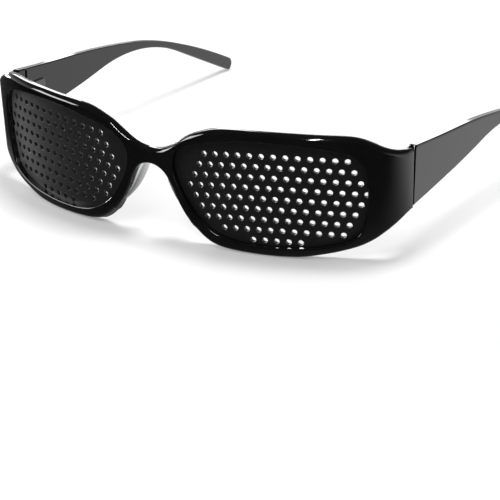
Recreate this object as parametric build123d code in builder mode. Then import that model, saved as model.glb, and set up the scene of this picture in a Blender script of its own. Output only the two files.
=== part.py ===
from build123d import *
import math
import os

# Pinhole glasses: a moulded wrap front holds two perforated panels, and two temples fold on metal hinges.
# Millimetres. X runs across the face, Y from the front towards the ears, Z up.
# The origin is on the symmetry plane, on the surface the glasses stand on, midway along their depth.
# Left and right are the wearer's, so the left side is at +X.

# Overall sizes
overall_depth = 159.6
half_width = 73.4
front_height = 38.7
overrun = 10.0
touch = 0.01

# Front frame. It leans forward at the top. Its plan is straight across the bridge,
# then an arc past each eye, then a tight corner that turns back to the temple.
lean_angle = 4.5
bridge_half_width = 12.0
wrap_radius = 98.5
corner_radius = 13.0
frame_thickness = 3.6
front_edge_bevel = 0.7
back_edge_bevel = 0.4
nose_edge_bevel = 0.4

# Front view of the frame, in shares of the half width and the front height
brow_shares = (
    (0.000, 0.730), (0.150, 0.840), (0.300, 0.963), (0.450, 0.983),
    (0.613, 0.988), (0.777, 0.972), (0.926, 0.932), (1.040, 0.890),
)
nose_arch_shares = (
    (0.000, 0.604), (0.080, 0.519), (0.113, 0.395), (0.223, 0.108), (0.307, 0.022), (0.450, -0.018),
)
cheek_shares = ((0.590, -0.018), (0.824, 0.070), (0.954, 0.212), (1.040, 0.315))

# Side view of the end pieces: the step down behind the brow and the rise behind the cheek.
# The temple joint is a little ahead of the place where the tight corner ends.
# Shares of the depth of the temple joint behind the front, and of the front height.
joint_ahead = 1.6
shoulder_shares = ((0.480, 0.975), (0.580, 0.950), (0.680, 0.893), (0.800, 0.853), (0.970, 0.824), (1.450, 0.814))
shoulder_start = (10, -1)
jowl_shares = ((0.644, -0.049), (0.852, 0.240), (1.061, 0.339), (1.450, 0.352))
jowl_start = (1, 2)

# Eye openings: corner points in shares of the half width and the front height, and how far three sides bulge
opening_corner_shares = ((0.104, 0.776), (0.898, 0.860), (0.891, 0.090), (0.283, 0.076))
opening_top_bulge = 2.1
opening_outer_bulge = 0.6
opening_nose_bulge = 3.6
opening_nose_top_round = 4.0
opening_outer_top_round = 5.5
opening_outer_bottom_round = 6.0
opening_nose_bottom_round = 6.0

# Flare of the nose arch: its back section is wider on each side and taller than its front section
arch_flare = 0.3
arch_rise_share = 1.02

# Pinhole panels, let into a groove around each opening. Each follows the frame's arc in flats one hole wide.
panel_recess = 1.8
panel_thickness = 0.9
panel_gap = 0.05
groove_depth = 1.0
panel_lap = 0.9
hole_radius = 0.87
hole_sides = 8
hole_pitch = 3.6
row_pitch = 3.33
row_centre_share = 0.541
row_arch_radius = 192.0
top_row_share = 0.792
row_reaches = ((12, 12), (13, 13), (14, 14), (15, 15), (14, 14), (13, 13), (12, 12), (9, 11), (4, 4))
plain_flats = 4

# Nose pads: clear crescents seated on the flanks of the nose arch
pad_front_depth = 1.2
pad_back_depth = 8.0
pad_backing = 2.6
pad_shares = ((0.046, 0.583), (0.087, 0.400), (0.177, 0.190))
pad_start = (1, -3)

# Temples: side view in shares of the temple length and the front height
temple_root_thickness = 2.7
temple_tip_thickness = 2.2
temple_edge_bevel = 0.4
joint_gap_top = 0.9
joint_gap_bottom = 0.3
mitre_depth = 4.3
temple_top_shares = ((-0.040, 0.883), (0.216, 0.806), (0.497, 0.695), (0.696, 0.525), (0.990, 0.118))
temple_top_start = (9, -1)
temple_bottom_shares = (
    (-0.040, 0.375), (0.216, 0.486), (0.353, 0.567), (0.573, 0.575), (0.729, 0.405), (0.984, 0.000),
)
temple_bottom_start = (9, 1)
tip_end_share = (1.000, 0.070)

# Hinges: a frame leaf with two knuckles, a temple leaf with one, and a screw through all three
hinge_height_share = 0.635
knuckle_radius = 1.5
knuckle_height = 2.0
knuckle_gap = 0.1
swing_gap = 0.2
leaf_thickness = 0.8
frame_leaf_length = 8.0
temple_leaf_length = 9.0
leaf_notch_gap = 0.3
seat_margin = 0.2
screw_radius = 0.7
screw_gap = 0.05
screw_head_radius = 1.25
screw_head_height = 0.6
screw_slot_width = 0.35
screw_slot_depth = 0.3
screw_tip_length = 0.3

# Places worked out from the sizes above
lean = math.radians(lean_angle)
front_foot_y = -overall_depth / 2 + front_height * math.sin(lean)
front_foot = (0, front_foot_y, 0)
front_plan = Plane(front_foot, x_dir=(1, 0, 0), z_dir=(0, -math.sin(lean), math.cos(lean)))
front_view = Plane(front_foot, x_dir=(1, 0, 0), z_dir=(0, -math.cos(lean), -math.sin(lean)))
front_side = Plane(front_foot, x_dir=(0, math.cos(lean), math.sin(lean)), z_dir=(1, 0, 0))
front_tall = front_height + 2 * overrun
wrap_sine = (half_width - bridge_half_width - corner_radius) / (wrap_radius - corner_radius)
wrap_angle = math.degrees(math.asin(wrap_sine))
wrap_cosine = math.cos(math.radians(wrap_angle))
joint_depth = wrap_radius * (1 - wrap_cosine) + corner_radius * wrap_cosine - joint_ahead
joint_outer_y = front_foot_y + joint_depth
joint_inner_x = half_width - temple_root_thickness
joint_inner_y = joint_outer_y + mitre_depth
hinge_x = joint_inner_x - knuckle_radius - swing_gap
hinge_y = joint_inner_y + swing_gap
hinge_z = front_height * hinge_height_share
leaf_height = 3 * knuckle_height + 2 * knuckle_gap
temple_length = overall_depth / 2 - joint_outer_y
row_centre_x = half_width * row_centre_share
panel_face_radius = wrap_radius - panel_recess
hole_turn = hole_pitch / 2 / panel_face_radius
row_turn = math.asin((row_centre_x - bridge_half_width) / panel_face_radius)


def on_front(shares):
    """Points of the front view, from shares of the half width and the front height."""
    return [(x * half_width, z * front_height) for x, z in shares]


def flared(shares, depth):
    """Points of the nose arch at a depth behind the front face, where it has spread and risen."""
    spread = arch_flare * depth / frame_thickness
    rise = 1 + (arch_rise_share - 1) * depth / frame_thickness
    return [(x + spread if x > 0 else 0, z * rise) for x, z in on_front(shares)]


def arc_run(points, direction):
    """A smooth run of arcs through the points, leaving the first one in the given direction."""
    for start, end in zip(points, points[1:]):
        arc = TangentArc(start, end, tangent=direction)
        direction = arc % 1


def layer_plan(near, far):
    """Plan of the left half of one layer of the front, between two depths behind its front face."""
    with BuildSketch() as plan:
        with BuildLine():
            ends = []
            for depth in (near, far):
                flat = Line((0, depth), (bridge_half_width, depth))
                wrap = JernArc(flat @ 1, flat % 1, wrap_radius - depth, wrap_angle)
                corner = JernArc(wrap @ 1, wrap % 1, corner_radius - depth, 90 - wrap_angle)
                side = Line(corner @ 1, (half_width - depth, joint_depth + mitre_depth + overrun))
                ends.append((flat @ 0, side @ 1))
            Line(ends[0][0], ends[1][0])
            Line(ends[0][1], ends[1][1])
        make_face()
    return plan.sketch_local


def opening_face(growth):
    """Front view of the left eye opening, grown all round."""
    corners = on_front(opening_corner_shares)
    rounds = (
        opening_nose_top_round,
        opening_outer_top_round,
        opening_outer_bottom_round,
        opening_nose_bottom_round,
    )
    with BuildSketch() as face:
        with BuildLine():
            SagittaArc(corners[0], corners[1], opening_top_bulge)
            SagittaArc(corners[1], corners[2], opening_outer_bulge)
            Line(corners[2], corners[3])
            SagittaArc(corners[3], corners[0], opening_nose_bulge)
        make_face()
        for corner, radius in zip(corners, rounds):
            fillet(face.vertices().sort_by_distance(corner)[0], radius=radius)
        if growth > 0:
            offset(amount=growth)
    return face.sketch_local


def edges_beside(*spaces):
    """Edges of the piece in hand that touch every one of the spaces, without those that run upwards."""
    found = edges().filter_by(Axis(front_foot, front_plan.z_dir), reverse=True)
    return [edge for edge in found if max(space.distance_to(edge @ 0.5) for space in spaces) < touch]


# The spaces in front of the frame and behind it, which find the edges to bevel
with BuildPart() as space_ahead:
    with BuildSketch(front_plan.offset(-overrun)):
        add(layer_plan(-panel_recess, 0))
    extrude(amount=front_tall)

with BuildPart() as space_behind:
    with BuildSketch(front_plan.offset(-overrun)):
        add(layer_plan(frame_thickness, frame_thickness + panel_recess))
    extrude(amount=front_tall)

# Solids that shape the left half of the front: its outline, eye opening, side cuts and nose space
with BuildPart() as outline_prism:
    with BuildSketch(front_view.offset(overrun)):
        with BuildLine():
            brow = on_front(brow_shares)
            cheek = on_front(cheek_shares)
            arc_run(brow, (1, 0))
            Line(brow[-1], cheek[-1])
            arc_run(cheek, (1, 0))
            Polyline(cheek[0], (-overrun, cheek[0][1]), (-overrun, brow[0][1]), brow[0])
        make_face()
    extrude(amount=-overall_depth)

with BuildPart() as opening_prism:
    with BuildSketch(front_view.offset(overrun)):
        add(opening_face(0))
    extrude(amount=-overall_depth)

with BuildPart() as groove_prism:
    with BuildSketch(front_view.offset(overrun)):
        add(opening_face(groove_depth))
    extrude(amount=-overall_depth)

with BuildPart() as lap_prism:
    with BuildSketch(front_view.offset(overrun)):
        add(opening_face(panel_lap))
    extrude(amount=-overall_depth)

with BuildPart() as side_cuts:
    for shares, start, edge_z in (
        (shoulder_shares, shoulder_start, front_height + overrun),
        (jowl_shares, jowl_start, -overrun),
    ):
        edge = [(depth * joint_depth, z * front_height) for depth, z in shares]
        with BuildSketch(front_side):
            with BuildLine():
                arc_run(edge, start)
                Polyline(edge[-1], (edge[-1][0], edge_z), (edge[0][0], edge_z), edge[0])
            make_face()
    extrude(amount=half_width + overrun)

with BuildPart() as nose_space:
    for depth in (-panel_recess, frame_thickness + panel_recess):
        rim = flared(nose_arch_shares, depth)
        with BuildSketch(front_view.offset(-depth)):
            with BuildLine():
                arc_run(rim, (1, 0))
                Polyline(rim[-1], (rim[-1][0], -overrun), (-overrun, -overrun), (-overrun, rim[0][1]), rim[0])
            make_face()
    loft()

with BuildPart() as hinge_seat:
    with BuildSketch(Plane.XY.offset(hinge_z - leaf_height / 2 - screw_tip_length - seat_margin)):
        with Locations((joint_inner_x, joint_inner_y - frame_leaf_length)):
            Rectangle(overrun, frame_leaf_length + overrun, align=(Align.MAX, Align.MIN))
    extrude(amount=leaf_height + screw_tip_length + screw_head_height + 2 * seat_margin)

with BuildPart() as joint_cut:
    with BuildSketch(Plane.XY.offset(-overrun)):
        with BuildLine():
            mitre_slope = mitre_depth / temple_root_thickness
            Polyline(
                (half_width + overrun, joint_outer_y - overrun * mitre_slope),
                (joint_inner_x, joint_inner_y),
                (joint_inner_x - overrun, joint_inner_y),
                (joint_inner_x - overrun, joint_inner_y + 2 * overrun),
                (half_width + overrun, joint_inner_y + 2 * overrun),
                close=True,
            )
        make_face()
    extrude(amount=front_tall)

with BuildPart() as groove:
    with BuildSketch(front_plan.offset(-overrun)):
        add(layer_plan(panel_recess, panel_recess + panel_thickness))
    extrude(amount=front_tall)
    add(groove_prism.part, mode=Mode.INTERSECT)

# Front frame
with BuildPart() as front_frame:
    with BuildSketch(front_plan.offset(-overrun)):
        add(layer_plan(0, frame_thickness))
    extrude(amount=front_tall)
    add(outline_prism.part, mode=Mode.INTERSECT)
    chamfer(edges_beside(space_ahead.part), length=front_edge_bevel)
    chamfer(edges_beside(space_behind.part), length=back_edge_bevel)
    add(opening_prism.part, mode=Mode.SUBTRACT)
    add(nose_space.part, mode=Mode.SUBTRACT)
    chamfer(edges_beside(space_ahead.part, nose_space.part), length=nose_edge_bevel)
    add(side_cuts.part, mode=Mode.SUBTRACT)
    add(joint_cut.part, mode=Mode.SUBTRACT)
    split(bisect_by=Plane.XY, keep=Keep.TOP)
    add(groove.part, mode=Mode.SUBTRACT)
    add(hinge_seat.part, mode=Mode.SUBTRACT)
    mirror(about=Plane.YZ)
front_frame.part.label = "front_frame"

# Pinhole panels: each hole is drilled square to its flat
def panel_point(turn, inset):
    """Plan point of the panel at a turn along its arc, at an inset behind its front face."""
    radius = panel_face_radius - inset
    depth = panel_recess + panel_face_radius - radius * math.cos(turn)
    return bridge_half_width + radius * math.sin(turn), depth


with BuildPart() as pinhole_panel_left:
    most_holes = max(outer_reach for nose_reach, outer_reach in row_reaches)
    folds = [row_turn + (step - 0.5) * hole_turn for step in range(-most_holes, most_holes + plain_flats)]
    sheet_front, sheet_back = [
        [(0, panel_recess + inset)] + [panel_point(fold, inset) for fold in folds]
        for inset in (panel_gap, panel_thickness - panel_gap)
    ]
    with BuildSketch(front_plan.offset(-overrun)):
        with BuildLine():
            Polyline(*sheet_front, *reversed(sheet_back), close=True)
        make_face()
    extrude(amount=front_tall)
    add(lap_prism.part, mode=Mode.INTERSECT)
    hole_places = []
    for row, (nose_reach, outer_reach) in enumerate(row_reaches):
        for step in range(-nose_reach, outer_reach + 1, 2):
            x, depth = panel_point(row_turn + step * hole_turn, 0)
            z = front_height * top_row_share - row * row_pitch - (x - row_centre_x) ** 2 / 2 / row_arch_radius
            centre = front_plan.from_local_coords(Vector(x, depth, z))
            x_inside, depth_inside = panel_point(row_turn + step * hole_turn, panel_thickness)
            inside = front_plan.from_local_coords(Vector(x_inside, depth_inside, z))
            hole_places.append(Plane(centre, x_dir=front_plan.z_dir, z_dir=centre - inside))
    with BuildSketch(*hole_places):
        RegularPolygon(radius=hole_radius, side_count=hole_sides, rotation=180 / hole_sides)
    extrude(amount=2 * panel_thickness, both=True, mode=Mode.SUBTRACT)
pinhole_panel_left.part.label = "pinhole_panel_left"

with BuildPart() as pinhole_panel_right:
    mirror(pinhole_panel_left.part, about=Plane.YZ)
pinhole_panel_right.part.label = "pinhole_panel_right"

# Nose pads
with BuildPart() as nose_pad_left:
    for depth in (pad_front_depth, pad_back_depth):
        rim = flared(pad_shares, depth)
        backing = [(x + pad_backing, z) for x, z in rim]
        with BuildSketch(front_view.offset(-depth)):
            with BuildLine():
                arc_run(rim, pad_start)
                Line(rim[-1], backing[-1])
                arc_run(backing, pad_start)
                Line(backing[0], rim[0])
            make_face()
    loft()
    add(groove.part, mode=Mode.SUBTRACT)
    add(front_frame.part, mode=Mode.SUBTRACT)
nose_pad_left.part.label = "nose_pad_left"

with BuildPart() as nose_pad_right:
    mirror(nose_pad_left.part, about=Plane.YZ)
nose_pad_right.part.label = "nose_pad_right"

# Temples: the side view is cut from a blade that thins towards its tip
with BuildPart() as temple_blade:
    with BuildSketch(Plane.XY.offset(-overrun)):
        with BuildLine():
            Polyline(
                (half_width, joint_outer_y - overrun),
                (half_width, overall_depth / 2 + overrun),
                (half_width - temple_tip_thickness, overall_depth / 2 + overrun),
                (joint_inner_x, hinge_y + temple_leaf_length),
                (joint_inner_x, joint_outer_y - overrun),
                close=True,
            )
        make_face()
    extrude(amount=front_tall)

with BuildPart() as temple_left:
    top_edge = [(joint_outer_y + t * temple_length, z * front_height) for t, z in temple_top_shares]
    bottom_edge = [(joint_outer_y + t * temple_length, z * front_height) for t, z in temple_bottom_shares]
    tip_end = (joint_outer_y + tip_end_share[0] * temple_length, tip_end_share[1] * front_height)
    with BuildSketch(Plane.YZ):
        with BuildLine():
            arc_run(top_edge, temple_top_start)
            Polyline(top_edge[-1], tip_end, bottom_edge[-1])
            arc_run(bottom_edge, temple_bottom_start)
            Line(bottom_edge[0], top_edge[0])
        make_face()
    extrude(amount=half_width + overrun)
    add(temple_blade.part, mode=Mode.INTERSECT)
    chamfer(edges().filter_by_position(Axis.X, half_width, half_width), length=temple_edge_bevel)
    root_top = Vector(half_width, joint_outer_y + joint_gap_top, top_edge[0][1])
    root_bottom = Vector(half_width, joint_outer_y + joint_gap_bottom, bottom_edge[0][1])
    across = Vector(-temple_root_thickness, mitre_depth, 0)
    split(bisect_by=Plane(root_top, x_dir=across, z_dir=across.cross(root_top - root_bottom)), keep=Keep.TOP)
temple_left.part.label = "temple_left"

with BuildPart() as temple_right:
    mirror(temple_left.part, about=Plane.YZ)
temple_right.part.label = "temple_right"


def barrel(low, high, radius, mode):
    """A cylinder on the left hinge axis, between two levels measured from the middle of the hinge."""
    with Locations((hinge_x, hinge_y, hinge_z + (low + high) / 2)):
        Cylinder(radius=radius, height=high - low, mode=mode)


# Hinges
with BuildPart() as hinge_frame_leaf_left:
    with BuildSketch(Plane.XY.offset(hinge_z - leaf_height / 2)):
        with Locations((joint_inner_x, hinge_y)):
            Rectangle(leaf_thickness, frame_leaf_length + swing_gap, align=(Align.MAX, Align.MAX))
    extrude(amount=leaf_height)
    notch_level = knuckle_height / 2 + knuckle_gap
    barrel(-notch_level, notch_level, knuckle_radius + leaf_notch_gap, Mode.SUBTRACT)
    barrel(notch_level, leaf_height / 2, knuckle_radius, Mode.ADD)
    barrel(-leaf_height / 2, -notch_level, knuckle_radius, Mode.ADD)
    barrel(-leaf_height, leaf_height, screw_radius + screw_gap, Mode.SUBTRACT)
hinge_frame_leaf_left.part.label = "hinge_frame_leaf_left"

with BuildPart() as hinge_temple_leaf_left:
    with BuildSketch(Plane.XY.offset(hinge_z - leaf_height / 2)):
        with Locations((joint_inner_x, hinge_y)):
            Rectangle(leaf_thickness, temple_leaf_length, align=(Align.MAX, Align.MIN))
    extrude(amount=leaf_height)
    barrel(knuckle_height / 2, leaf_height, knuckle_radius + leaf_notch_gap, Mode.SUBTRACT)
    barrel(-leaf_height, -knuckle_height / 2, knuckle_radius + leaf_notch_gap, Mode.SUBTRACT)
    barrel(-knuckle_height / 2, knuckle_height / 2, knuckle_radius, Mode.ADD)
    barrel(-leaf_height, leaf_height, screw_radius + screw_gap, Mode.SUBTRACT)
hinge_temple_leaf_left.part.label = "hinge_temple_leaf_left"

with BuildPart() as hinge_screw_left:
    barrel(-leaf_height / 2 - screw_tip_length, leaf_height / 2, screw_radius, Mode.ADD)
    barrel(leaf_height / 2, leaf_height / 2 + screw_head_height, screw_head_radius, Mode.ADD)
    with BuildSketch(Plane.XY.offset(hinge_z + leaf_height / 2 + screw_head_height)):
        with Locations((hinge_x, hinge_y)):
            Rectangle(screw_slot_width, 3 * screw_head_radius)
    extrude(amount=-screw_slot_depth, mode=Mode.SUBTRACT)
hinge_screw_left.part.label = "hinge_screw_left"

with BuildPart() as hinge_frame_leaf_right:
    mirror(hinge_frame_leaf_left.part, about=Plane.YZ)
hinge_frame_leaf_right.part.label = "hinge_frame_leaf_right"

with BuildPart() as hinge_temple_leaf_right:
    mirror(hinge_temple_leaf_left.part, about=Plane.YZ)
hinge_temple_leaf_right.part.label = "hinge_temple_leaf_right"

with BuildPart() as hinge_screw_right:
    mirror(hinge_screw_left.part, about=Plane.YZ)
hinge_screw_right.part.label = "hinge_screw_right"

os.makedirs("parts", exist_ok=True)
for piece in (
    front_frame, pinhole_panel_left, pinhole_panel_right, nose_pad_left, nose_pad_right,
    temple_left, temple_right, hinge_frame_leaf_left, hinge_frame_leaf_right,
    hinge_temple_leaf_left, hinge_temple_leaf_right, hinge_screw_left, hinge_screw_right,
):
    export_step(piece.part, f"parts/{piece.part.label}.step")
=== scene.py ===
import math

import bpy
import numpy as np
from mathutils import Matrix, Vector
from mathutils.geometry import delaunay_2d_cdt


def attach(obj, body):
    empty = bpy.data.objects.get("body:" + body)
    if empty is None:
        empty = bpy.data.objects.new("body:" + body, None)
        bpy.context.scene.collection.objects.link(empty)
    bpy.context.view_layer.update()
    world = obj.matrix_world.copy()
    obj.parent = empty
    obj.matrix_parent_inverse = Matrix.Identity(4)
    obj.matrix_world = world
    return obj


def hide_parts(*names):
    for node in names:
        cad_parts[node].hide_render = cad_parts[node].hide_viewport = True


# Pinhole glasses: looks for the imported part. The shapes are in millimetres, and are written in metres.
# X runs across the face, Y from the front towards the ears, Z up. The wearer's left side is at +X.
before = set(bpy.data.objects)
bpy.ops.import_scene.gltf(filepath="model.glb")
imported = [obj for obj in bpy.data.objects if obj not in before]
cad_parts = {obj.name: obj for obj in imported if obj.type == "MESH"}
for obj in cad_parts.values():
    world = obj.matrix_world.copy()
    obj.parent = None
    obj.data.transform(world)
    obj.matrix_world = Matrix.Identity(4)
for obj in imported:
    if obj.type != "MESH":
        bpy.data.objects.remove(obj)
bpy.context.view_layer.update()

MM = 0.001

# Sizes of the part
OVERALL_DEPTH = 159.6
HALF_WIDTH = 73.4
FRONT_HEIGHT = 38.7
LEAN = math.radians(4.5)
BRIDGE_HALF_WIDTH = 12.0
WRAP_RADIUS = 98.5
CORNER_RADIUS = 13.0
FRAME_THICKNESS = 3.6
ROOT_THICKNESS = 2.7
TIP_THICKNESS = 2.2
TEMPLE_OVERRUN = 10.0
JOINT_AHEAD = 1.6

# Outline of the front on its unrolled face. The edges are millimetres round the face, and up it.
# The nose arch is in shares of the half width and the front height.
TOP_EDGE = (
    (0, 28.3), (3, 28.5), (5, 29.1), (7, 30.1), (9, 31.5), (11, 33.0), (13, 34.4), (15, 35.4),
    (17, 36.2), (20, 37.4), (24, 38.15), (30, 38.45), (37, 38.42), (43, 38.38), (49, 38.2), (55, 37.9),
    (60.6, 37.65), (63.5, 37.45), (66.4, 36.95), (69.3, 35.8), (72.5, 34.1), (76.4, 32.65),
    (81.2, 31.25), (90, 30.2),
)
UNDER_EDGE = (
    (14, 7.0), (15.5, 5.3), (17, 3.9), (18.5, 2.85), (20, 2.0), (21.5, 1.4), (23, 0.85), (26, 0.4),
    (29.4, 0.1), (35.7, -0.2), (41.8, -0.33), (47.8, -0.2), (51, 0.2), (54.3, 0.8), (58, 1.45),
    (61.3, 2.2), (66, 3.5), (69.7, 5.2), (72.6, 7.1), (75.7, 9.0), (79.2, 10.95), (82, 12.2), (90, 14.6),
)
NOSE_ARCH_SHARES = (
    (0.000, 0.604), (0.080, 0.519), (0.113, 0.395), (0.223, 0.108), (0.307, 0.022), (0.450, -0.018),
)
NOSE_ARCH_START = (1, 0)
NOSE_ARCH_FOOT = 6.0

# The left eye opening, clockwise from its corner by the nose: millimetres across the front view, and up it
OPENING_EDGE = (
    (10.5, 30.2), (13.3, 31.7), (17.0, 33.0), (21.3, 33.9), (25.1, 34.7), (30.2, 35.5), (37.7, 35.8),
    (46.4, 35.3), (53.0, 34.4), (57.0, 33.6), (61.2, 32.2), (63.8, 30.2), (64.8, 27.3), (65.3, 21.0),
    (65.1, 15.2), (64.4, 11.0), (63.4, 7.4), (60.6, 5.0), (56.5, 3.9), (52.0, 3.1), (47.0, 2.7),
    (38.5, 2.5), (30.2, 2.8), (24.4, 3.8), (20.2, 5.6), (15.6, 9.0), (13.4, 11.7), (10.6, 16.1),
    (8.6, 20.8), (7.9, 24.8), (8.5, 27.9),
)
OPENING_ROUND = 0.5

# Edge radii of the front, blended where they change
FRONT_EDGE_ROUNDS = {"at_joint": 0.3, "by_joint": 0.2, "brow": 1.9, "rim": 1.2}
BACK_EDGE_ROUNDS = {"at_joint": 0.15, "by_joint": 0.1, "brow": 1.3, "rim": 0.6}

# The nose arch narrows and rises towards the back, and its foot turns down.
# The change fades out round the face, by the middle of the bridge and at the rim's lower edge.
ARCH_FLARE = -0.3
ARCH_RISE = 0.02
ARCH_REACH = 34.0
ARCH_TOP = 24.0
ARCH_FADE = 14.0
BRIDGE_FADE = 3.0
FOOT_DROP = 1.4
FOOT_TOP = 12.0
FOOT_FADE = 6.0
UNDER_START = 0.3
UNDER_FADE = 1.5

# The front and the temples meet on a mitre, with a gap that is wider at the top
MITRE_DEPTH = 4.3
JOINT_GAP_TOP = 0.9
JOINT_GAP_BOTTOM = 0.3

# Pinhole panels. They are thicker here than in the part, so that the walls of their holes catch the light.
# Each row of holes reaches so many half pitches from its centre, towards the nose and outwards.
PANEL_RECESS = 1.85
PANEL_THICKNESS = 1.5
PANEL_LAP = 0.9
PANEL_ROUND = 0.1
HOLE_RADIUS = 0.86
HOLE_SIDES = 24
HOLE_FRONT_ROUND = 0.16
HOLE_BACK_ROUND = 0.1
HOLE_PITCH = 3.6
ROW_PITCH = 3.33
ROW_ARCH_RADIUS = 192.0
TOP_ROW_SHARE = 0.792
ROW_CENTRE_X = 0.541 * HALF_WIDTH
ROW_REACHES = ((12, 12), (13, 13), (14, 14), (15, 15), (14, 14), (13, 13), (12, 12), (9, 11), (4, 4))

# Nose pads: depths of the pad's front and back, its width, and how much it tapers towards its foot
PAD_FRONT = 1.2
PAD_BACK = 8.0
PAD_STANDOFF = 0.2
PAD_WIDTH = 2.6
PAD_WIDTH_TAPER = 0.35
PAD_DEPTH_TAPER = 0.60
PAD_TAPER_POWER = 1.3
PAD_END_POWER = 3.2
PAD_SECTION_POWER = 0.8
PAD_SPACING = 0.2
PAD_STATIONS = 36
PAD_SECTION = 24
PAD_SHARES = ((0.046, 0.583), (0.087, 0.400), (0.177, 0.190))
PAD_START = (1, -3)

# Side view of the temple, in shares of its length and the front height
TEMPLE_TOP_SHARES = ((-0.040, 0.883), (0.216, 0.806), (0.497, 0.695), (0.696, 0.525), (0.990, 0.118))
TEMPLE_TOP_START = (9, -1)
TEMPLE_BOTTOM_SHARES = (
    (-0.040, 0.375), (0.216, 0.486), (0.353, 0.567), (0.573, 0.575), (0.729, 0.405), (0.984, 0.000),
)
TEMPLE_BOTTOM_START = (9, 1)
TEMPLE_TIP_SHARE = (1.000, 0.070)
TEMPLE_TAPER_START = 13.5
TEMPLE_CORNER_ROUNDS = (0.5, 1.3, 2.2, 1.3, 0.9)
TEMPLE_FRONT_ROUND = 0.7
TEMPLE_BACK_ROUND = 0.5
ROOT_REACH = 1.5
ROOT_STEEPNESS = 0.5
ROOT_FRONT_ROUND = 0.25
ROOT_BACK_ROUND = 0.15

# Places that follow from the sizes. A distance round the face is named s.
FRONT_FOOT_Y = -OVERALL_DEPTH / 2 + FRONT_HEIGHT * math.sin(LEAN)
WRAP = math.asin((HALF_WIDTH - BRIDGE_HALF_WIDTH - CORNER_RADIUS) / (WRAP_RADIUS - CORNER_RADIUS))
JOINT_DEPTH = WRAP_RADIUS * (1 - math.cos(WRAP)) + CORNER_RADIUS * math.cos(WRAP) - JOINT_AHEAD
JOINT_OUTER_Y = FRONT_FOOT_Y + JOINT_DEPTH
TEMPLE_LENGTH = OVERALL_DEPTH / 2 - JOINT_OUTER_Y
S_WRAP = BRIDGE_HALF_WIDTH + WRAP_RADIUS * WRAP
S_CORNER = S_WRAP + CORNER_RADIUS * (math.pi / 2 - WRAP)

# How finely the outlines and meshes are divided, and over how many points an outline is smoothed
LOOSE_SPACING = 0.6
ARCH_SPACING = 0.4
EDGE_SPACING = 0.35
EDGE_OVERRUN = 12.0
TOP_SMOOTHING = (5, 4)
UNDER_SMOOTHING = (4, 3)
ROUND_SMOOTHING = 5
OPENING_SPACINGS = (0.25, 0.5)
OPENING_SMOOTHING = (8, 6)
RUN_CLEARANCE = 0.2
TIP_STEPS = 8
ROOT_STEPS = 30
CORNER_STEPS = 12
S_TABLE_STEPS = 4000
GRID_CLEARANCE_SHARE = 0.45
POINT_TOLERANCE = 1e-6
SHORTEST_NORMAL = 1e-9


# Outlines
def arc_run(points, direction, spacing=LOOSE_SPACING):
    """Points along a smooth run of arcs through the given ones."""
    heading = math.atan2(direction[1], direction[0])
    run = [tuple(points[0])]
    for (x0, z0), (x1, z1) in zip(points, points[1:]):
        chord = math.hypot(x1 - x0, z1 - z0)
        bend = (math.atan2(z1 - z0, x1 - x0) - heading + math.pi) % (2 * math.pi) - math.pi
        steps = max(2, math.ceil(chord / spacing))
        for i in range(1, steps + 1):
            share = i / steps
            reach = chord * share
            if abs(bend) > POINT_TOLERANCE:
                reach = chord * math.sin(bend * share) / math.sin(bend)
            angle = heading + bend * share
            run.append((x0 + reach * math.cos(angle), z0 + reach * math.sin(angle)))
        heading += 2 * bend
    return np.array(run)


def lengths_along(run):
    """How far along an open run each of its points lies."""
    return np.concatenate([[0], np.cumsum(np.linalg.norm(np.diff(run, axis=0), axis=1))])


def even_run(run, spacing=0.55):
    """The open run again with evenly spaced points."""
    at = lengths_along(run)
    new = np.linspace(0, at[-1], max(3, round(at[-1] / spacing)))
    return np.stack([np.interp(new, at, run[:, k]) for k in (0, 1)], 1)


def even_loop(loop, spacing):
    """The closed loop again with evenly spaced points."""
    closed = np.vstack([loop, loop[:1]])
    steps = np.linalg.norm(np.diff(closed, axis=0), axis=1)
    closed = closed[np.concatenate([[True], steps > POINT_TOLERANCE])]
    at = lengths_along(closed)
    new = np.linspace(0, at[-1], max(8, round(at[-1] / spacing)), endpoint=False)
    return np.stack([np.interp(new, at, closed[:, k]) for k in (0, 1)], 1)


def rounded_corner(corner, towards_before, towards_after, radius):
    """The reach and the points of an arc that replaces a corner. The directions lead away from it."""
    half = math.acos(np.clip(towards_before @ towards_after, -1, 1)) / 2
    reach = radius / math.tan(half)
    start, end = corner + towards_before * reach, corner + towards_after * reach
    arc = []
    for k in range(CORNER_STEPS + 1):
        t = k / CORNER_STEPS
        weights = ((1 - t) ** 2, 2 * math.sin(half) * t * (1 - t), t ** 2)
        arc.append((weights[0] * start + weights[1] * corner + weights[2] * end) / sum(weights))
    return reach, np.array(arc)


def rounded_corners(sides, radii):
    """A closed run of sides whose corners are rounded. radii[i] is at the start of side i."""
    arcs = []
    for i, side in enumerate(sides):
        following = (i + 1) % len(sides)
        after = sides[following]
        towards_before, towards_after = side[-2] - side[-1], after[1] - after[0]
        reach, arc = rounded_corner(after[0], towards_before / np.linalg.norm(towards_before),
                                    towards_after / np.linalg.norm(towards_after), radii[following])
        sides[i] = side[np.linalg.norm(side - side[-1], axis=1) > reach]
        sides[following] = after[np.linalg.norm(after - after[0], axis=1) > reach]
        arcs.append(arc)
    return np.concatenate([points for pair in zip(sides, arcs) for points in pair])


def soften(values, width):
    """A moving average that keeps the ends."""
    kernel = np.ones(2 * width + 1) / (2 * width + 1)
    padded = np.concatenate([values[:1].repeat(width), values, values[-1:].repeat(width)])
    return np.convolve(padded, kernel, "valid")


def blended(values, width):
    """A moving average round a closed run."""
    return sum(np.roll(values, k, 0) for k in range(-width, width + 1)) / (2 * width + 1)


def left_of(way):
    """The directions a quarter turn to the left of the given ones."""
    return np.stack([-way[:, 1], way[:, 0]], 1)


def way_along(loop):
    """The direction in which a closed loop runs at each of its points."""
    way = np.roll(loop, -1, 0) - np.roll(loop, 1, 0)
    return way / np.linalg.norm(way, axis=1)[:, None]


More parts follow.
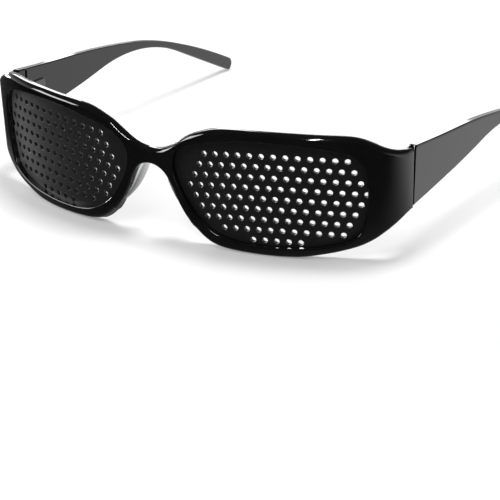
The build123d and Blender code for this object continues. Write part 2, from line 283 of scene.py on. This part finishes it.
def mitre_inward(loop):
    """How far each point of a closed loop moves when its sides move one unit to the left."""
    ahead = np.roll(loop, -1, 0) - loop
    ahead = left_of(ahead / np.linalg.norm(ahead, axis=1)[:, None])
    behind = np.roll(ahead, 1, 0)
    return (behind + ahead) / (1 + (behind * ahead).sum(1))[:, None]


def from_shares(shares):
    return [(x * HALF_WIDTH, z * FRONT_HEIGHT) for x, z in shares]


def inside(points, loops):
    """Which points lie in the region that the loops bound."""
    crossings = np.zeros(len(points), int)
    for loop in loops:
        for (x0, y0), (x1, y1) in zip(loop, np.roll(loop, -1, 0)):
            if y0 != y1:
                crosses = (points[:, 1] < y0) != (points[:, 1] < y1)
                at = x0 + (points[:, 1] - y0) * (x1 - x0) / (y1 - y0)
                crossings += crosses & (points[:, 0] < at)
    return crossings % 2 == 1


# The curved surface of the front. A depth is measured back from the middle of the bridge, on the lean.
def plan(s, inset):
    """X, depth and heading of the plan at a distance s round the face, at an inset behind it."""
    side = np.sign(s)
    reach = np.abs(s)
    turn = np.clip((reach - BRIDGE_HALF_WIDTH) / WRAP_RADIUS, 0, WRAP)
    x = np.minimum(reach, BRIDGE_HALF_WIDTH) + (WRAP_RADIUS - inset) * np.sin(turn)
    depth = WRAP_RADIUS - (WRAP_RADIUS - inset) * np.cos(turn)
    bend = np.clip((reach - S_WRAP) / CORNER_RADIUS, 0, math.pi / 2 - WRAP)
    radius = CORNER_RADIUS - inset
    x = x + radius * (np.sin(WRAP + bend) - math.sin(WRAP)) * (bend > 0)
    depth = depth + radius * (math.cos(WRAP) - np.cos(WRAP + bend)) * (bend > 0)
    depth = depth + np.maximum(reach - S_CORNER, 0)
    return x * side, depth, (turn + bend) * side


def s_of_x(x):
    """Distance round the face at x."""
    table = np.linspace(0, S_CORNER, S_TABLE_STEPS)
    return np.interp(np.abs(x), plan(table, 0.0)[0], table) * np.sign(x)


def leaned(x, depth, z):
    """World places from places on the leaning front."""
    y = FRONT_FOOT_Y + depth * math.cos(LEAN) - z * math.sin(LEAN)
    return np.stack([x, y, depth * math.sin(LEAN) + z * math.cos(LEAN)], -1)


def front_surface(uv, inset):
    """Place, outward normal, and the directions round the face and up it, at an inset behind the face."""
    x, depth, heading = plan(uv[:, 0], inset)
    zero = np.zeros_like(x)
    place = leaned(x, depth, uv[:, 1])
    origin = leaned(zero, zero, zero)
    along = leaned(np.cos(heading), np.sin(heading), zero) - origin
    up = leaned(zero, zero, zero + 1) - origin
    return place, np.cross(along, up), along, up


# Meshes
def mesh_object(name, verts, faces, normals=None):
    """A smooth object from places in metres, with its own normals where they are given."""
    mesh = bpy.data.meshes.new(name)
    mesh.from_pydata([tuple(v) for v in verts], [], faces)
    mesh.update()
    mesh.polygons.foreach_set("use_smooth", [True] * len(mesh.polygons))
    if normals is not None:
        lengths = np.maximum(np.linalg.norm(normals, axis=1)[:, None], SHORTEST_NORMAL)
        mesh.normals_split_custom_set_from_vertices([tuple(n) for n in normals / lengths])
    obj = bpy.data.objects.new(name, mesh)
    bpy.context.scene.collection.objects.link(obj)
    return obj


def mirrored(name, source):
    """The same piece on the other side of the face."""
    mesh = source.data
    verts = np.array([tuple(v.co) for v in mesh.vertices]) * (-1, 1, 1)
    faces = [tuple(p.vertices)[::-1] for p in mesh.polygons]
    normals = np.zeros((len(verts), 3))
    for loop, normal in zip(mesh.loops, mesh.corner_normals):
        normals[loop.vertex_index] = normal.vector
    return mesh_object(name, verts, faces, normals * (-1, 1, 1))


class Sheet:
    """A sheet with rounded edges on a curved surface, gathered ring by ring."""

    def __init__(self, surface, thickness, spacing):
        self.surface, self.thickness, self.spacing = surface, thickness, spacing
        self.verts, self.normals, self.faces = [], [], []
        self.count = 0

    def add_points(self, places, normals):
        """Adds points and gives the index of the first."""
        first = self.count
        self.verts.append(places)
        self.normals.append(normals)
        self.count += len(places)
        return first

    def add_edge(self, loop, layers):
        """Adds the rounded edge along a loop, and gives its two rims, each as first index and points."""
        at = loop["at"]
        size = len(at)
        inward = mitre_inward(at)
        unit = inward / np.linalg.norm(inward, axis=1)[:, None]
        shift = loop.get("shift", np.zeros_like(at))
        total = self.thickness(at)
        rims = []
        for level, (side, turn) in enumerate(layers):
            radius = np.broadcast_to(loop[side], size)
            inset = radius * (1 - math.cos(turn))
            if side == "back":
                inset = total - inset
            moved = inward * (radius * (1 - math.sin(turn)))[:, None] + shift * (inset / total)[:, None]
            place, normal, along, up = self.surface(at + moved, inset)
            outward = -(along * unit[:, :1] + up * unit[:, 1:])
            face = normal if side == "front" else -normal
            first = self.add_points(place, face * math.cos(turn) + outward * math.sin(turn))
            if level in (0, len(layers) - 1):
                rims.append((first, at + moved))
            if level:
                for i in range(size):
                    j = (i + 1) % size
                    self.faces.append((first - size + i, first + i, first + j, first - size + j))
        return rims

    def fill_points(self, rim_points, loops):
        """A grid of points between the loops, clear of their own points."""
        low, high = rim_points.min(0) + self.spacing / 2, rim_points.max(0)
        grid = np.stack(np.meshgrid(*(np.arange(low[k], high[k], self.spacing) for k in (0, 1))), -1)
        grid = grid.reshape(-1, 2)
        grid = grid[inside(grid, loops)]
        nearest = np.array([np.min(((rim_points - point) ** 2).sum(1)) for point in grid])
        return grid[nearest > (GRID_CLEARANCE_SHARE * self.spacing) ** 2]

    def add_face(self, rims, back):
        """Adds the front or back face, which lies between the rims."""
        loops = [points for first, points in rims]
        rim_points = np.concatenate(loops)
        rim_index = np.concatenate([np.arange(first, first + len(points)) for first, points in rims])
        edges = []
        for points in loops:
            start = len(edges)
            edges += [(start + i, start + (i + 1) % len(points)) for i in range(len(points))]
        points = np.vstack([rim_points, self.fill_points(rim_points, loops)])
        found, _, triangles, sources, _, _ = delaunay_2d_cdt(
            [tuple(point) for point in points], edges, [], 0, POINT_TOLERANCE)
        found = np.array([tuple(point) for point in found])
        inset = self.thickness(found) if back else np.zeros(len(found))
        place, normal, along, up = self.surface(found, inset)
        if back:
            normal = -normal
        index = []
        for k, source in enumerate(sources):
            on_rim = [v for v in source if v < len(rim_points)]
            if on_rim:
                index.append(int(rim_index[on_rim[0]]))
            else:
                index.append(self.add_points(place[k:k + 1], normal[k:k + 1]))
        triangles = np.array([triangle for triangle in triangles if len(triangle) == 3])
        for triangle in triangles[inside(found[triangles].mean(1), loops)]:
            corners = [index[k] for k in triangle]
            self.faces.append(tuple(corners[::-1] if back else corners))


def sheet_piece(name, surface, loops, thickness, spacing, rounds=4):
    """A sheet with rounded edges. Each loop is a dict: at (points, material on the left), front and back
    (edge radii), and shift (how far a point moves from the front to the back, in the sheet)."""
    turns = [math.pi / 2 * k / rounds for k in range(rounds + 1)]
    layers = [("front", turn) for turn in turns] + [("back", turn) for turn in reversed(turns)]
    sheet = Sheet(surface, thickness, spacing)
    rims = [sheet.add_edge(loop, layers) for loop in loops]
    sheet.add_face([front_rim for front_rim, back_rim in rims], back=False)
    sheet.add_face([back_rim for front_rim, back_rim in rims], back=True)
    return mesh_object(name, np.concatenate(sheet.verts) * MM, sheet.faces, np.concatenate(sheet.normals))


def fit(piece, body, node):
    """Puts a piece on its body, in the place of a CAD node."""
    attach(piece, body)
    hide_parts(node)


# Front frame
def front_thickness(uv):
    """The frame is thinner where the end piece meets the temple."""
    share = np.clip((np.abs(uv[:, 0]) - S_WRAP) / (S_CORNER - S_WRAP), 0, 1)
    return FRAME_THICKNESS + (ROOT_THICKNESS - FRAME_THICKNESS) * share * share * (3 - 2 * share)


def frame_outline():
    """The outline, and which of its points are on a joint's edge and on the brow."""
    arch = arc_run(from_shares(NOSE_ARCH_SHARES), NOSE_ARCH_START, ARCH_SPACING)
    arch = arch[arch[:, 1] > NOSE_ARCH_FOOT]
    s = np.arange(0, S_CORNER + EDGE_OVERRUN, EDGE_SPACING)
    depth = plan(s, 0.0)[1]
    runs = []
    for edge, smoothing in ((TOP_EDGE, TOP_SMOOTHING), (UNDER_EDGE, UNDER_SMOOTHING)):
        height = np.interp(s, *np.transpose(edge))
        for width in smoothing:
            height = soften(height, width)
        ahead_of_joint = depth < JOINT_DEPTH / math.cos(LEAN) + height * math.tan(LEAN)
        runs.append(np.stack([s, height], 1)[ahead_of_joint])
    top_run, low_run = runs
    low_run = low_run[low_run[:, 0] > arch[-1, 0] + RUN_CLEARANCE]
    low_run = np.vstack([np.stack([s_of_x(arch[:, 0]), arch[:, 1]], 1), low_run])
    joint_run = np.array([low_run[-1], top_run[-1]])
    low_run, joint_run, top_run = (even_run(run) for run in (low_run, joint_run, top_run[::-1]))
    half = np.vstack([low_run, joint_run[1:-1], top_run])
    order = np.arange(len(half))
    top_start = len(low_run) + len(joint_run) - 2
    on_joint = (order >= len(low_run) - 1) & (order <= top_start)
    on_brow = order >= top_start
    return (np.vstack([half, (half * (-1, 1))[::-1][1:-1]]),
            *(np.concatenate([which, which[::-1][1:-1]]) for which in (on_joint, on_brow)))


def front_shift(outline, on_joint):
    """How far each point of the outline moves from the front to the back."""
    side, across, height = np.sign(outline[:, 0]), np.abs(outline[:, 0]), outline[:, 1]
    on_arch = (across < ARCH_REACH) & (height < ARCH_TOP)
    fade = np.clip((ARCH_REACH - across) / ARCH_FADE, 0, 1) * np.clip(across / BRIDGE_FADE, 0, 1)
    foot = np.clip((FOOT_TOP - height) / FOOT_FADE, 0, 1)
    foot *= np.clip((height - UNDER_START) / UNDER_FADE, 0, 1)
    shift = np.stack([side * ARCH_FLARE * on_arch * fade,
                      (height * ARCH_RISE * (1 - foot) - FOOT_DROP * foot) * on_arch], 1)
    shift[on_joint, 0] = side[on_joint] * MITRE_DEPTH
    shift[on_joint, 1] = -MITRE_DEPTH * math.tan(LEAN)
    return shift


def edge_rounds(on_joint, on_brow, rounds):
    """Edge radii round the outline."""
    plain = np.where(on_joint, rounds["by_joint"], np.where(on_brow, rounds["brow"], rounds["rim"]))
    return np.where(on_joint, rounds["at_joint"], blended(plain, ROUND_SMOOTHING))


def opening_outline(growth=0.0):
    """The left eye opening in the front view, clockwise."""
    loop = even_loop(np.array(OPENING_EDGE), OPENING_SPACINGS[0])
    for width in OPENING_SMOOTHING:
        loop = blended(loop, width)
    loop = even_loop(loop, OPENING_SPACINGS[1])
    return loop + left_of(way_along(loop)) * growth


def front_piece():
    outline, on_joint, on_brow = frame_outline()
    opening = opening_outline()
    opening = np.stack([s_of_x(opening[:, 0]), opening[:, 1]], 1)
    loops = [{
        "at": outline,
        "front": edge_rounds(on_joint, on_brow, FRONT_EDGE_ROUNDS),
        "back": edge_rounds(on_joint, on_brow, BACK_EDGE_ROUNDS),
        "shift": front_shift(outline, on_joint),
    }]
    for points in (opening, (opening * (-1, 1))[::-1]):
        loops.append({"at": points, "front": OPENING_ROUND, "back": OPENING_ROUND})
    return sheet_piece("front_frame_shell", front_surface, loops, front_thickness, spacing=2.0)


# Pinhole panels
def panel_surface(uv, inset):
    return front_surface(uv, inset + PANEL_RECESS)


def panel_thickness(uv):
    return np.full(len(uv), PANEL_THICKNESS)


def panel_edge():
    """The panel's edge in the groove around the opening, anticlockwise."""
    edge = opening_outline(PANEL_LAP)[::-1]
    radius = WRAP_RADIUS - PANEL_RECESS - PANEL_THICKNESS / 2
    turn = np.arcsin(np.clip((edge[:, 0] - BRIDGE_HALF_WIDTH) / radius, 0, 1))
    s = np.minimum(edge[:, 0], BRIDGE_HALF_WIDTH) + WRAP_RADIUS * turn
    return np.stack([s, edge[:, 1]], 1)


def hole_centres():
    """Centres of the holes on the unrolled face: staggered rows that arch a little."""
    radius = WRAP_RADIUS - PANEL_RECESS
    middle = math.asin((ROW_CENTRE_X - BRIDGE_HALF_WIDTH) / radius)
    for row, (nose_reach, outer_reach) in enumerate(ROW_REACHES):
        for step in range(-nose_reach, outer_reach + 1, 2):
            turn = middle + step * HOLE_PITCH / 2 / radius
            x = BRIDGE_HALF_WIDTH + radius * math.sin(turn)
            sag = (x - ROW_CENTRE_X) ** 2 / 2 / ROW_ARCH_RADIUS
            z = FRONT_HEIGHT * TOP_ROW_SHARE - row * ROW_PITCH - sag
            yield BRIDGE_HALF_WIDTH + WRAP_RADIUS * turn, z


def panel_piece():
    stretch = WRAP_RADIUS / (WRAP_RADIUS - PANEL_RECESS)
    angles = -np.linspace(0, 2 * math.pi, HOLE_SIDES, endpoint=False)
    ring = np.stack([np.cos(angles) * stretch, np.sin(angles)], 1) * HOLE_RADIUS
    loops = [{"at": panel_edge(), "front": PANEL_ROUND, "back": PANEL_ROUND}]
    for centre in hole_centres():
        loops.append({"at": np.array(centre) + ring, "front": HOLE_FRONT_ROUND, "back": HOLE_BACK_ROUND})
    return sheet_piece("pinhole_sheet_left", panel_surface, loops, panel_thickness, spacing=1.8, rounds=2)


# Nose pads
def pad_rings():
    """Rings of a soft crescent swept down the flank of the nose arch, thick at the top, thin at the foot."""
    path = even_run(arc_run(from_shares(PAD_SHARES), PAD_START, PAD_SPACING), PAD_SPACING / 4)
    stations = (1 - np.cos(np.linspace(0, math.pi, PAD_STATIONS))) / 2
    place = np.stack([np.interp(stations, np.linspace(0, 1, len(path)), path[:, k]) for k in (0, 1)], 1)
    along = np.gradient(place, stations, axis=0)
    across = left_of(along / np.linalg.norm(along, axis=1)[:, None])
    end_round = (1 - np.abs(2 * stations - 1) ** PAD_END_POWER) ** (1 / PAD_END_POWER)
    half_width = PAD_WIDTH / 2 * (1 - PAD_WIDTH_TAPER * stations)
    half_depth = (PAD_BACK - PAD_FRONT) / 2 * (1 - PAD_DEPTH_TAPER * stations ** PAD_TAPER_POWER)
    turn = np.linspace(0, 2 * math.pi, PAD_SECTION, endpoint=False)
    wide = np.sign(np.cos(turn)) * np.abs(np.cos(turn)) ** PAD_SECTION_POWER
    deep = np.sign(np.sin(turn)) * np.abs(np.sin(turn)) ** PAD_SECTION_POWER
    for k in range(1, PAD_STATIONS - 1):
        depth = PAD_FRONT + PAD_STANDOFF + half_depth[k] * (1 + end_round[k] * deep)
        flat = place[k] + across[k] * half_width[k] * (1 + end_round[k] * wide)[:, None]
        flare = ARCH_FLARE * depth / FRAME_THICKNESS
        rise = 1 + ARCH_RISE * depth / FRAME_THICKNESS
        yield leaned(flat[:, 0] + flare, depth, flat[:, 1] * rise)


def pad_piece(name):
    rings = list(pad_rings())
    last = len(rings) * PAD_SECTION
    faces = []
    for i in range(PAD_SECTION):
        j = (i + 1) % PAD_SECTION
        for a in range(0, last - PAD_SECTION, PAD_SECTION):
            b = a + PAD_SECTION
            faces.append((a + i, a + j, b + j, b + i))
        faces.append((last, j, i))
        faces.append((last + 1, last - PAD_SECTION + i, last - PAD_SECTION + j))
    ends = [rings[0].mean(0), rings[-1].mean(0)]
    return mesh_object(name, np.vstack([*rings, *ends]) * MM, faces)


# Temples
def temple_thickness(uv):
    start = JOINT_OUTER_Y + TEMPLE_TAPER_START
    share = np.clip((uv[:, 0] - start) / (OVERALL_DEPTH / 2 + TEMPLE_OVERRUN - start), 0, 1)
    return ROOT_THICKNESS + (TIP_THICKNESS - ROOT_THICKNESS) * share


def temple_surface(uv, inset):
    """Place, outward normal, and the directions back and up, at an inset behind the outer side."""
    place = np.stack([HALF_WIDTH - inset * np.ones(len(uv)), uv[:, 0], uv[:, 1]], 1)
    return place, *(np.tile(axis, (len(uv), 1)) for axis in np.eye(3))


def temple_outline():
    """The temple's side view, anticlockwise from its root's lower corner."""
    def in_view(shares):
        return [(JOINT_OUTER_Y + y * TEMPLE_LENGTH, z * FRONT_HEIGHT) for y, z in shares]

    tip = in_view([TEMPLE_TIP_SHARE])[0]
    edges = []
    for shares, direction, gap in ((TEMPLE_BOTTOM_SHARES, TEMPLE_BOTTOM_START, JOINT_GAP_BOTTOM),
                                   (TEMPLE_TOP_SHARES, TEMPLE_TOP_START, JOINT_GAP_TOP)):
        run = arc_run(in_view(shares), direction)
        run = run[run[:, 0] > JOINT_OUTER_Y + gap + RUN_CLEARANCE]
        edges.append(np.vstack([[(JOINT_OUTER_Y + gap, run[0, 1])], run]))
    low_run, top_run = edges[0], edges[1][::-1]
    sides = [low_run, np.linspace(low_run[-1], tip, TIP_STEPS), np.linspace(tip, top_run[0], TIP_STEPS),
             top_run, np.linspace(top_run[-1], low_run[0], ROOT_STEPS)]
    return even_loop(rounded_corners(sides, TEMPLE_CORNER_ROUNDS), LOOSE_SPACING)


def temple_piece():
    outline = temple_outline()
    steep = np.abs(way_along(outline)[:, 1]) > ROOT_STEEPNESS
    on_root = (outline[:, 0] < JOINT_OUTER_Y + ROOT_REACH) & steep
    shift = np.zeros_like(outline)
    shift[on_root, 0] = MITRE_DEPTH
    return sheet_piece("temple_arm_left", temple_surface, [{
        "at": outline,
        "front": np.where(on_root, ROOT_FRONT_ROUND, TEMPLE_FRONT_ROUND),
        "back": np.where(on_root, ROOT_BACK_ROUND, TEMPLE_BACK_ROUND),
        "shift": shift,
    }], temple_thickness, spacing=3.0)


# Material nodes
def material(name):
    made = bpy.data.materials.new(name)
    made.use_nodes = True
    nodes, links = made.node_tree.nodes, made.node_tree.links
    return made, nodes, links, nodes["Principled BSDF"]


def noise(nodes, links, scale, detail, stretch=(1, 1, 1)):
    """Noise in object space. scale is in features per metre."""
    place = nodes.new("ShaderNodeTexCoord")
    mapping = nodes.new("ShaderNodeMapping")
    mapping.inputs["Scale"].default_value = stretch
    texture = nodes.new("ShaderNodeTexNoise")
    texture.inputs["Scale"].default_value = scale
    texture.inputs["Detail"].default_value = detail
    links.new(place.outputs["Object"], mapping.inputs["Vector"])
    links.new(mapping.outputs["Vector"], texture.inputs["Vector"])
    return texture.outputs["Fac"]


def mapped(nodes, links, source, low, high, start, end, kind="SMOOTHSTEP"):
    """A value that goes from start to end while its source goes from low to high."""
    node = nodes.new("ShaderNodeMapRange")
    node.interpolation_type = kind
    for socket, value in (("From Min", low), ("From Max", high), ("To Min", start), ("To Max", end)):
        node.inputs[socket].default_value = value
    links.new(source, node.inputs["Value"])
    return node.outputs["Result"]


def spread(nodes, links, source, low, high):
    """Maps a noise value to a range."""
    return mapped(nodes, links, source, 0.3, 0.7, low, high, "LINEAR")


def tint(nodes, links, source, low, high):
    """Maps a noise value to a colour between two."""
    ramp = nodes.new("ShaderNodeValToRGB")
    for element, position, colour in zip(ramp.color_ramp.elements, (0.35, 0.65), (low, high)):
        element.position = position
        element.color = (*colour, 1)
    links.new(source, ramp.inputs["Fac"])
    return ramp.outputs["Color"]


def bumps(nodes, links, shader, *layers):
    """Bump layers, each a source and a height in metres."""
    normal = None
    for source, height in layers:
        bump = nodes.new("ShaderNodeBump")
        bump.inputs["Distance"].default_value = height
        links.new(source, bump.inputs["Height"])
        if normal:
            links.new(normal, bump.inputs["Normal"])
        normal = bump.outputs["Normal"]
    links.new(normal, shader.inputs["Normal"])


def choose(nodes, links, factor, a, b):
    """Mix of two values, each a number or a socket."""
    node = nodes.new("ShaderNodeMix")
    links.new(factor, node.inputs["Factor"])
    for socket, value in (("A", a), ("B", b)):
        if isinstance(value, (int, float)):
            node.inputs[socket].default_value = value
        else:
            links.new(value, node.inputs[socket])
    return node.outputs["Result"]


# Materials of the pieces
def gloss_black():
    made, nodes, links, shader = material("gloss_black_plastic")
    broad = noise(nodes, links, scale=60, detail=3)
    fine = noise(nodes, links, scale=1500, detail=2)
    colour = tint(nodes, links, broad, (0.0018, 0.0018, 0.0020), (0.0032, 0.0032, 0.0035))
    links.new(colour, shader.inputs["Base Color"])
    links.new(spread(nodes, links, fine, 0.04, 0.07), shader.inputs["Roughness"])
    shader.inputs["Specular IOR Level"].default_value = 0.6
    bumps(nodes, links, shader, (broad, 0.00002), (fine, 0.000001))
    return made


def satin_black():
    made, nodes, links, shader = material("satin_black_sheet")
    broad = noise(nodes, links, scale=40, detail=3)
    grain = noise(nodes, links, scale=3200, detail=3)
    colour = tint(nodes, links, grain, (0.004, 0.004, 0.0045), (0.011, 0.011, 0.0125))
    links.new(colour, shader.inputs["Base Color"])
    links.new(spread(nodes, links, broad, 0.36, 0.44), shader.inputs["Roughness"])
    shader.inputs["Specular IOR Level"].default_value = 0.5
    shader.inputs["Sheen Weight"].default_value = 1.0
    shader.inputs["Sheen Roughness"].default_value = 0.28
    bumps(nodes, links, shader, (grain, 0.00003))
    return made


def clear_rubber():
    made, nodes, links, shader = material("clear_silicone")
    cloud = noise(nodes, links, scale=300, detail=3)
    colour = tint(nodes, links, cloud, (0.86, 0.88, 0.88), (0.95, 0.96, 0.96))
    links.new(colour, shader.inputs["Base Color"])
    links.new(spread(nodes, links, cloud, 0.05, 0.10), shader.inputs["Roughness"])
    shader.inputs["Transmission Weight"].default_value = 0.95
    shader.inputs["IOR"].default_value = 1.30
    bumps(nodes, links, shader, (cloud, 0.000005))
    return made


def brushed_steel():
    made, nodes, links, shader = material("brushed_steel")
    brush = noise(nodes, links, scale=900, detail=4, stretch=(1, 1, 14))
    colour = tint(nodes, links, brush, (0.100, 0.100, 0.104), (0.140, 0.140, 0.146))
    links.new(colour, shader.inputs["Base Color"])
    links.new(spread(nodes, links, brush, 0.24, 0.42), shader.inputs["Roughness"])
    shader.inputs["Metallic"].default_value = 0.7
    bumps(nodes, links, shader, (brush, 0.00002))
    return made


def plated_steel():
    made, nodes, links, shader = material("plated_screw_steel")
    wear = noise(nodes, links, scale=2500, detail=4)
    colour = tint(nodes, links, wear, (0.10, 0.10, 0.10), (0.18, 0.18, 0.18))
    links.new(colour, shader.inputs["Base Color"])
    links.new(spread(nodes, links, wear, 0.14, 0.28), shader.inputs["Roughness"])
    shader.inputs["Metallic"].default_value = 1.0
    bumps(nodes, links, shader, (wear, 0.00001))
    return made


# Floor. Each glow is a range of places in metres, and the strengths at its two ends: the one that the camera
# sees by the distance from the object, and the one that reflections see along Y and X.
FLOOR_COLOUR = 0.62
SEEN_GLOW = (0.20, 0.60, 0.20, 1.0)
MIRRORED_GLOW_Y = (-0.090, 0.000, 0.04, 1.0)
MIRRORED_GLOW_X = (-0.110, -0.070, 0.1, 1.0)
FLOOR_HALF_SIDE = 3.0
FLOOR_GAP = 0.00002


def pale_floor():
    """A matt floor whose colour shows the shadow. Its glow rises to white far from the object. Reflections
    see a glow of their own, which is weak in front of the object and beyond the wearer's right side."""
    made, nodes, links, shader = material("pale_floor")
    shader.inputs["Roughness"].default_value = 0.9
    shader.inputs["Specular IOR Level"].default_value = 0.0
    shader.inputs["Emission Color"].default_value = (1, 1, 1, 1)
    place = nodes.new("ShaderNodeTexCoord")
    split = nodes.new("ShaderNodeSeparateXYZ")
    links.new(place.outputs["Object"], split.inputs["Vector"])
    distance = nodes.new("ShaderNodeVectorMath")
    distance.operation = "LENGTH"
    links.new(place.outputs["Object"], distance.inputs[0])
    mirrored_glow = nodes.new("ShaderNodeMath")
    mirrored_glow.operation = "MULTIPLY"
    links.new(mapped(nodes, links, split.outputs["Y"], *MIRRORED_GLOW_Y), mirrored_glow.inputs[0])
    links.new(mapped(nodes, links, split.outputs["X"], *MIRRORED_GLOW_X), mirrored_glow.inputs[1])
    seen_glow = mapped(nodes, links, distance.outputs["Value"], *SEEN_GLOW)
    path = nodes.new("ShaderNodeLightPath")
    glossy_ray, camera_ray = path.outputs["Is Glossy Ray"], path.outputs["Is Camera Ray"]
    glow = choose(nodes, links, camera_ray, 0.0, seen_glow)
    glow = choose(nodes, links, glossy_ray, glow, mirrored_glow.outputs["Value"])
    links.new(glow, shader.inputs["Emission Strength"])
    links.new(choose(nodes, links, glossy_ray, FLOOR_COLOUR, 0.0), shader.inputs["Base Color"])
    return made


def lay_floor():
    reach = FLOOR_HALF_SIDE
    corners = [(-reach, -reach, 0), (reach, -reach, 0), (reach, reach, 0), (-reach, reach, 0)]
    mesh = bpy.data.meshes.new("floor")
    mesh.from_pydata(corners, [], [(0, 1, 2, 3)])
    mesh.materials.append(pale_floor())
    floor = bpy.data.objects.new("floor", mesh)
    floor.location.z = -FLOOR_GAP
    bpy.context.scene.collection.objects.link(floor)


# Lamps: name, place, target, size in metres, power in watts, and whether reflections show it
LAMPS = (
    ("softbox_above", (0.06, 0.12, 1.0), (0, 0, 0), (0.32, 0.38), 8.0, False),
    ("softbox_left_behind", (-0.80, 0.72, 0.56), (-0.04, 0, 0.02), (0.50, 0.26), 3.2, True),
    ("strip_behind", (-0.56, 0.95, 0.27), (0.04, 0, 0.02), (0.40, 0.12), 0.7, True),
    ("strip_left_front", (-0.86, -0.46, 0.38), (-0.04, -0.07, 0.03), (0.50, 0.26), 4.0, True),
    ("strip_left_low", (-0.85, 0.25, 0.06), (-0.05, -0.05, 0.02), (0.5, 0.12), 8.0, True),
    ("strip_front", (0.235, -0.67, 0.82), (0.053, -0.07, 0.038), (0.025, 0.45), 2.6, True),
)


def area_light(name, place, target, size, power, in_reflections):
    data = bpy.data.lights.new(name, "AREA")
    data.shape = "RECTANGLE"
    data.size, data.size_y = size
    data.energy = power
    lamp = bpy.data.objects.new(name, data)
    lamp.location = place
    lamp.rotation_mode = "QUATERNION"
    lamp.rotation_quaternion = (Vector(place) - Vector(target)).to_track_quat("Z", "Y")
    lamp.visible_camera = False
    lamp.visible_glossy = in_reflections
    bpy.context.scene.collection.objects.link(lamp)


# World: white to the camera, a low fill on matt surfaces, and a room in reflections. The room's ranges are
# parts of the ray's direction, up and back, with the strengths at their two ends.
FILL = 0.25
ROOM_DARK = 0.03
ROOM_BY_HEIGHT = (0.10, 0.55, 1.0, ROOM_DARK)
ROOM_BY_DEPTH = (-0.45, 0.15, 0.0, 1.0)


def studio_world():
    """Reflections see a pale sweep low behind the object, and a darker room above and in front."""
    world = bpy.data.worlds.new("studio")
    bpy.context.scene.world = world
    world.use_nodes = True
    nodes, links = world.node_tree.nodes, world.node_tree.links
    background = nodes["Background"]
    background.inputs["Color"].default_value = (1, 1, 1, 1)
    place = nodes.new("ShaderNodeTexCoord")
    split = nodes.new("ShaderNodeSeparateXYZ")
    links.new(place.outputs["Generated"], split.inputs["Vector"])
    height = mapped(nodes, links, split.outputs["Z"], *ROOM_BY_HEIGHT)
    ahead = mapped(nodes, links, split.outputs["Y"], *ROOM_BY_DEPTH)
    room = choose(nodes, links, ahead, ROOM_DARK, height)
    path = nodes.new("ShaderNodeLightPath")
    strength = choose(nodes, links, path.outputs["Is Diffuse Ray"], 1.0, FILL)
    strength = choose(nodes, links, path.outputs["Is Glossy Ray"], strength, room)
    links.new(strength, background.inputs["Strength"])


# Camera
CAMERA_PLACE = (0.3199, -0.53345, 0.2224)
CAMERA_AZIMUTH = math.radians(32.05)
CAMERA_ELEVATION = math.radians(22.20)
CAMERA_ROLL = math.radians(-0.40)
CAMERA_LENS = 143.6
CAMERA_SENSOR = 36.0


def place_camera():
    data = bpy.data.cameras.new("camera")
    data.sensor_width = CAMERA_SENSOR
    data.lens = CAMERA_LENS
    data.clip_start = 0.01
    data.clip_end = 50.0
    level = math.cos(CAMERA_ELEVATION)
    away = np.array([math.sin(CAMERA_AZIMUTH) * level, -math.cos(CAMERA_AZIMUTH) * level,
                     math.sin(CAMERA_ELEVATION)])
    right = np.array([math.cos(CAMERA_AZIMUTH), math.sin(CAMERA_AZIMUTH), 0])
    right = right * math.cos(CAMERA_ROLL) + np.cross(away, right) * math.sin(CAMERA_ROLL)
    columns = np.stack([right, np.cross(away, right), away], 1)
    camera = bpy.data.objects.new("camera", data)
    camera.matrix_world = Matrix.Translation(CAMERA_PLACE) @ Matrix(columns.tolist()).to_4x4()
    bpy.context.scene.collection.objects.link(camera)
    bpy.context.scene.camera = camera


# The pieces, each on its body
front = front_piece()
panel_left = panel_piece()
panel_right = mirrored("pinhole_sheet_right", panel_left)
pad_left = pad_piece("nose_pad_clear_left")
pad_right = mirrored("nose_pad_clear_right", pad_left)
temple_left = temple_piece()
temple_right = mirrored("temple_arm_right", temple_left)
fit(front, "front", "front_frame")
fit(panel_left, "front", "pinhole_panel_left")
fit(panel_right, "front", "pinhole_panel_right")
fit(pad_left, "front", "nose_pad_left")
fit(pad_right, "front", "nose_pad_right")
fit(temple_left, "temple_left_body", "temple_left")
fit(temple_right, "temple_right_body", "temple_right")

# Their materials, and those of the CAD nodes. The first word found in a node's name says its material.
gloss, satin, rubber = gloss_black(), satin_black(), clear_rubber()
for made, pieces in ((gloss, (front, temple_left, temple_right)), (satin, (panel_left, panel_right)),
                     (rubber, (pad_left, pad_right))):
    for piece in pieces:
        piece.data.materials.append(made)
NODE_MATERIALS = {
    "screw": plated_steel(), "leaf": brushed_steel(),
    "front": gloss, "temple": gloss, "panel": satin, "pad": rubber,
}
for node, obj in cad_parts.items():
    made = next(made for word, made in NODE_MATERIALS.items() if word in node)
    for material_slot in obj.material_slots:
        material_slot.material = made

lay_floor()
for lamp in LAMPS:
    area_light(*lamp)
studio_world()
place_camera()
bpy.context.scene.view_settings.view_transform = "Standard"

bpy.context.view_layer.update()
